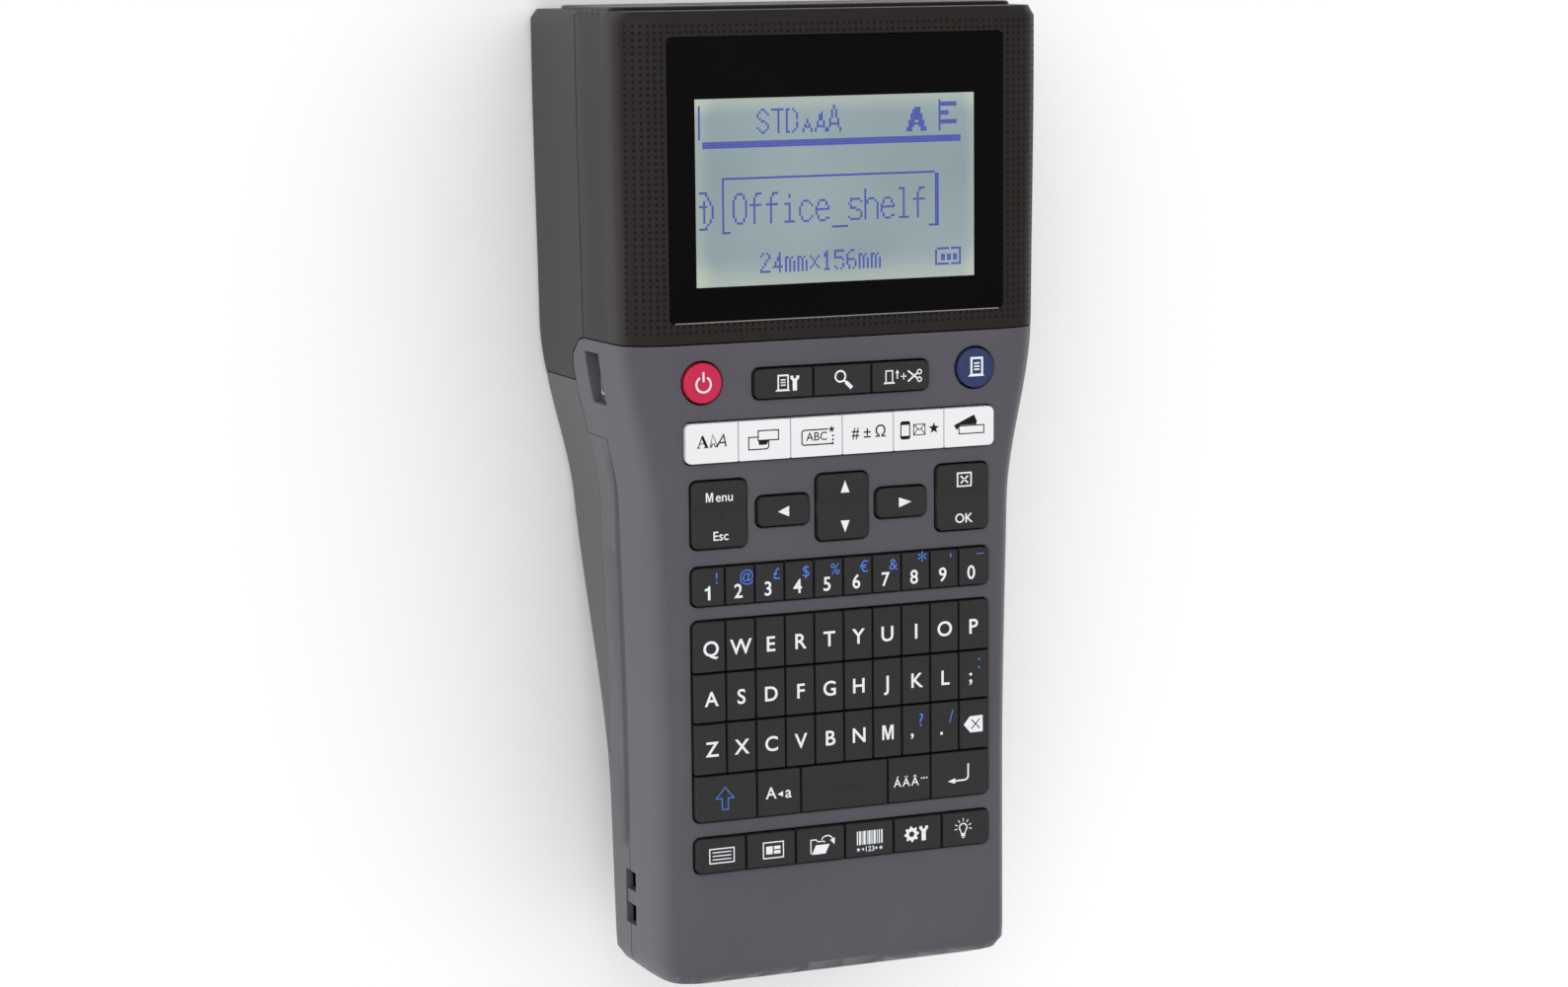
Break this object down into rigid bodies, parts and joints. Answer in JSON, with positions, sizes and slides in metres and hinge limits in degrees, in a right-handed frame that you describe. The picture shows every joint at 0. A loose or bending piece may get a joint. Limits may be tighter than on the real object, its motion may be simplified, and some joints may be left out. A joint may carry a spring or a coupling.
{
  "type": "label maker",
  "caption": "Hand-held label maker: deep display head over a keyboard grip, tape cassette and cutter in the head, cells in the back.",
  "frame": {"origin": "centre of the bounding box footprint at the back face, lying on its back", "axes": "+Z out of the keyboard and display, +Y towards the display end, +X to the right of a person reading the display"},
  "size_m": [0.116, 0.2432, 0.0652],
  "materials": {
    "grey_shell": "satin",
    "black_shell": "satin",
    "taupe_cover": "satin",
    "glass": "gloss",
    "screen": "satin",
    "key_black": "matte",
    "key_white": "satin",
    "key_red": "satin",
    "key_blue": "satin",
    "clear": "gloss",
    "steel": "satin",
    "gear_white": "satin",
    "inner_black": "matte",
    "circuit": "satin",
    "roller_rubber": "matte",
    "ceramic": "satin",
    "tape": "satin",
    "cell": "satin",
    "contact": "satin"
  },
  "bodies": {
    "case": {"front_shell": "grey_shell", "display_bezel": "black_shell", "display_window": "glass", "lcd_module": "screen", "rear_shell": "grey_shell", "tape_exit_block": "black_shell", "strap_bar": "grey_shell", "case_screws": "steel", "keypad_sheet": "inner_black", "main_board": "circuit", "usb_socket": "steel", "power_jack": "inner_black", "chassis": "inner_black", "drive_motor": "steel", "battery_contacts": "contact"},
    "power_key": {"power_key": "key_red"},
    "print_key": {"print_key": "key_blue"},
    "preview_key": {"preview_key": "key_black"},
    "search_key": {"search_key": "key_black"},
    "feed_cut_key": {"feed_cut_key": "key_black"},
    "style_key": {"style_key": "key_white"},
    "layout_key": {"layout_key": "key_white"},
    "text_frame_key": {"text_frame_key": "key_white"},
    "symbol_key": {"symbol_key": "key_white"},
    "icon_key": {"icon_key": "key_white"},
    "label_type_key": {"label_type_key": "key_white"},
    "left_key": {"left_key": "key_black"},
    "right_key": {"right_key": "key_black"},
    "digit_row": {"digit_row": "key_black"},
    "letter_row_1": {"letter_row_1": "key_black"},
    "letter_row_2": {"letter_row_2": "key_black"},
    "letter_row_3": {"letter_row_3": "key_black"},
    "bottom_row": {"bottom_row": "key_black"},
    "line_key": {"line_key": "key_black"},
    "block_key": {"block_key": "key_black"},
    "file_key": {"file_key": "key_black"},
    "barcode_key": {"barcode_key": "key_black"},
    "setup_key": {"setup_key": "key_black"},
    "light_key": {"light_key": "key_black"},
    "menu_key": {"menu_key": "key_black"},
    "up_down_key": {"up_down_key": "key_black"},
    "ok_key": {"ok_key": "key_black"},
    "tape_cover": {"cassette_cover": "black_shell", "cover_window": "clear"},
    "cassette": {"cassette_case": "gear_white"},
    "tape_roll": {"tape_roll": "tape"},
    "ribbon_spool": {"ribbon_spool": "inner_black"},
    "battery_cover": {"battery_cover": "taupe_cover"},
    "battery_cells": {"battery_cells": "cell"},
    "idler": {"idler_gear": "gear_white"},
    "pinion": {"motor_pinion": "contact"},
    "platen": {"platen_gear": "gear_white", "platen_roller": "roller_rubber"},
    "takeup": {"takeup_gear": "gear_white"},
    "head_arm": {"head_arm": "steel", "print_head": "ceramic"},
    "cutter_gear": {"cutter_gear": "gear_white"},
    "cutter_blade": {"cutter_blade": "steel"}
  },
  "joints": [
    {"name": "power_key_press", "type": "slide", "parent": "case", "child": "power_key", "axis": [0, 0, -1], "range_m": [0, 0.0008], "stiffness_N_per_m": 900},
    {"name": "print_key_press", "type": "slide", "parent": "case", "child": "print_key", "axis": [0, 0, -1], "range_m": [0, 0.0008], "stiffness_N_per_m": 900},
    {"name": "preview_key_press", "type": "slide", "parent": "case", "child": "preview_key", "axis": [0, 0, -1], "range_m": [0, 0.0008], "stiffness_N_per_m": 900},
    {"name": "search_key_press", "type": "slide", "parent": "case", "child": "search_key", "axis": [0, 0, -1], "range_m": [0, 0.0008], "stiffness_N_per_m": 900},
    {"name": "feed_cut_key_press", "type": "slide", "parent": "case", "child": "feed_cut_key", "axis": [0, 0, -1], "range_m": [0, 0.0008], "stiffness_N_per_m": 900},
    {"name": "style_key_press", "type": "slide", "parent": "case", "child": "style_key", "axis": [0, 0, -1], "range_m": [0, 0.0008], "stiffness_N_per_m": 900},
    {"name": "layout_key_press", "type": "slide", "parent": "case", "child": "layout_key", "axis": [0, 0, -1], "range_m": [0, 0.0008], "stiffness_N_per_m": 900},
    {"name": "text_frame_key_press", "type": "slide", "parent": "case", "child": "text_frame_key", "axis": [0, 0, -1], "range_m": [0, 0.0008], "stiffness_N_per_m": 900},
    {"name": "symbol_key_press", "type": "slide", "parent": "case", "child": "symbol_key", "axis": [0, 0, -1], "range_m": [0, 0.0008], "stiffness_N_per_m": 900},
    {"name": "icon_key_press", "type": "slide", "parent": "case", "child": "icon_key", "axis": [0, 0, -1], "range_m": [0, 0.0008], "stiffness_N_per_m": 900},
    {"name": "label_type_key_press", "type": "slide", "parent": "case", "child": "label_type_key", "axis": [0, 0, -1], "range_m": [0, 0.0008], "stiffness_N_per_m": 900},
    {"name": "left_key_press", "type": "slide", "parent": "case", "child": "left_key", "axis": [0, 0, -1], "range_m": [0, 0.0008], "stiffness_N_per_m": 900},
    {"name": "right_key_press", "type": "slide", "parent": "case", "child": "right_key", "axis": [0, 0, -1], "range_m": [0, 0.0008], "stiffness_N_per_m": 900},
    {"name": "digit_row_press", "type": "slide", "parent": "case", "child": "digit_row", "axis": [0, 0, -1], "range_m": [0, 0.0008], "stiffness_N_per_m": 900},
    {"name": "letter_row_1_press", "type": "slide", "parent": "case", "child": "letter_row_1", "axis": [0, 0, -1], "range_m": [0, 0.0008], "stiffness_N_per_m": 900},
    {"name": "letter_row_2_press", "type": "slide", "parent": "case", "child": "letter_row_2", "axis": [0, 0, -1], "range_m": [0, 0.0008], "stiffness_N_per_m": 900},
    {"name": "letter_row_3_press", "type": "slide", "parent": "case", "child": "letter_row_3", "axis": [0, 0, -1], "range_m": [0, 0.0008], "stiffness_N_per_m": 900},
    {"name": "bottom_row_press", "type": "slide", "parent": "case", "child": "bottom_row", "axis": [0, 0, -1], "range_m": [0, 0.0008], "stiffness_N_per_m": 900},
    {"name": "line_key_press", "type": "slide", "parent": "case", "child": "line_key", "axis": [0, 0, -1], "range_m": [0, 0.0008], "stiffness_N_per_m": 900},
    {"name": "block_key_press", "type": "slide", "parent": "case", "child": "block_key", "axis": [0, 0, -1], "range_m": [0, 0.0008], "stiffness_N_per_m": 900},
    {"name": "file_key_press", "type": "slide", "parent": "case", "child": "file_key", "axis": [0, 0, -1], "range_m": [0, 0.0008], "stiffness_N_per_m": 900},
    {"name": "barcode_key_press", "type": "slide", "parent": "case", "child": "barcode_key", "axis": [0, 0, -1], "range_m": [0, 0.0008], "stiffness_N_per_m": 900},
    {"name": "setup_key_press", "type": "slide", "parent": "case", "child": "setup_key", "axis": [0, 0, -1], "range_m": [0, 0.0008], "stiffness_N_per_m": 900},
    {"name": "light_key_press", "type": "slide", "parent": "case", "child": "light_key", "axis": [0, 0, -1], "range_m": [0, 0.0008], "stiffness_N_per_m": 900},
    {"name": "menu_key_rock", "type": "hinge", "parent": "case", "child": "menu_key", "pos_m": [-0.0329, -0.00215, 0.0607], "axis": [1, 0, 0], "range_deg": [-2.5, 2.5], "stiffness_Nm_per_rad": 0.2},
    {"name": "up_down_key_rock", "type": "hinge", "parent": "case", "child": "up_down_key", "pos_m": [0.00015, -0.0023, 0.0607], "axis": [1, 0, 0], "range_deg": [-2.5, 2.5], "stiffness_Nm_per_rad": 0.2},
    {"name": "ok_key_rock", "type": "hinge", "parent": "case", "child": "ok_key", "pos_m": [0.03305, -0.00205, 0.0607], "axis": [1, 0, 0], "range_deg": [-2.5, 2.5], "stiffness_Nm_per_rad": 0.2},
    {"name": "tape_cover_lift", "type": "slide", "parent": "case", "child": "tape_cover", "axis": [0, 0, -1], "range_m": [0, 0.045]},
    {"name": "cassette_lift", "type": "slide", "parent": "case", "child": "cassette", "axis": [0, 0, -1], "range_m": [0, 0.036]},
    {"name": "tape_roll_spin", "type": "hinge", "parent": "cassette", "child": "tape_roll", "pos_m": [0.0266, 0.072, 0.03], "axis": [0, 0, 1], "continuous": true},
    {"name": "battery_cover_lift", "type": "slide", "parent": "case", "child": "battery_cover", "axis": [0, 0, -1], "range_m": [0, 0.035]},
    {"name": "battery_cells_lift", "type": "slide", "parent": "case", "child": "battery_cells", "axis": [0, 0, -1], "range_m": [0, 0.021]},
    {"name": "idler_spin", "type": "hinge", "parent": "case", "child": "idler", "pos_m": [-0.03702, 0.06738, 0.051], "axis": [0, 0, 1], "continuous": true},
    {"name": "pinion_spin", "type": "hinge", "parent": "case", "child": "pinion", "pos_m": [-0.042, 0.05, 0.051], "axis": [0, 0, 1], "continuous": true},
    {"name": "platen_spin", "type": "hinge", "parent": "case", "child": "platen", "pos_m": [-0.0289, 0.08748, 0.051], "axis": [0, 0, 1], "continuous": true},
    {"name": "takeup_spin", "type": "hinge", "parent": "case", "child": "takeup", "pos_m": [-0.0083, 0.06436, 0.051], "axis": [0, 0, 1], "continuous": true},
    {"name": "ribbon_spin", "type": "hinge", "parent": "cassette", "child": "ribbon_spool", "pos_m": [-0.0083, 0.06436, 0.028], "axis": [0, 0, 1], "continuous": true},
    {"name": "head_release", "type": "hinge", "parent": "case", "child": "head_arm", "pos_m": [-0.02155, 0.06748, 0.028], "axis": [0, 0, 1], "range_deg": [-2.5, 0], "stiffness_Nm_per_rad": 0.05},
    {"name": "cutter_gear_spin", "type": "hinge", "parent": "case", "child": "cutter_gear", "pos_m": [-0.03598, 0.109, 0.00966], "axis": [0, 1, 0], "range_deg": [0, 27]},
    {"name": "cutter_swing", "type": "hinge", "parent": "case", "child": "cutter_blade", "pos_m": [-0.01674, 0.109, 0.011], "axis": [0, 1, 0], "range_deg": [-9.1, 0.1]}
  ],
  "couplings": [
    {"joint": "cassette_lift", "follows": "tape_cover_lift", "ratio": 0.8},
    {"joint": "battery_cells_lift", "follows": "battery_cover_lift", "ratio": 0.6},
    {"joint": "pinion_spin", "follows": "idler_spin", "ratio": -4},
    {"joint": "platen_spin", "follows": "idler_spin", "ratio": -2},
    {"joint": "takeup_spin", "follows": "idler_spin", "ratio": -1},
    {"joint": "ribbon_spin", "follows": "idler_spin", "ratio": -1},
    {"joint": "cutter_swing", "follows": "cutter_gear_spin", "ratio": -0.33333}
  ]
}
